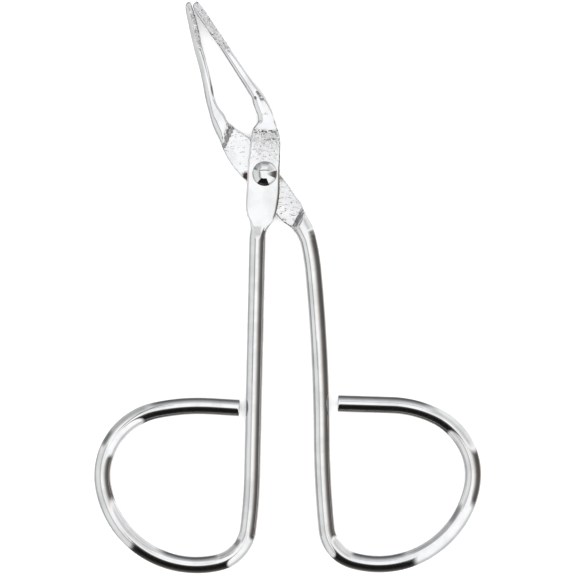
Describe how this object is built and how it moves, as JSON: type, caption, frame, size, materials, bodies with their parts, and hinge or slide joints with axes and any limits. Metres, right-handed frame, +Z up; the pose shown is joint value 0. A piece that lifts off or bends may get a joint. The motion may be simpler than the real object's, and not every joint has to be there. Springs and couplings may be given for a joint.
{
  "type": "scissor-handled tweezers",
  "caption": "Scissor-handled tweezers of plated steel wire: crossed arms on a domed rivet, open finger loops, forged flats, and slim jaws bent to one side with knurled tips.",
  "frame": {"origin": "on the rivet's axis, in the plane that the tongs rest on, which is the flat end of the rivet's tail", "axes": "+Z up through the rivet's dome, +Y towards the jaw tips along the front arm's flat, +X towards the rear arm's finger loop"},
  "size_m": [0.0651, 0.0962, 0.004],
  "materials": {
    "arm_plating": "bright nickel-chrome plating over forged steel wire: mirror-smooth on the wire, pebbled on the forged flats, knurled at the jaw tips",
    "rivet_plating": "mirror-polished dome"
  },
  "bodies": {
    "front_half": {"front_arm": "arm_plating", "rivet": "rivet_plating"},
    "rear_half": {"rear_arm": "arm_plating"}
  },
  "joints": [
    {"name": "pivot", "type": "hinge", "parent": "front_half", "child": "rear_half", "pos_m": [0, 0, 0.0014], "axis": [0, 0, 1], "range_deg": [-0.2, 98]}
  ]
}
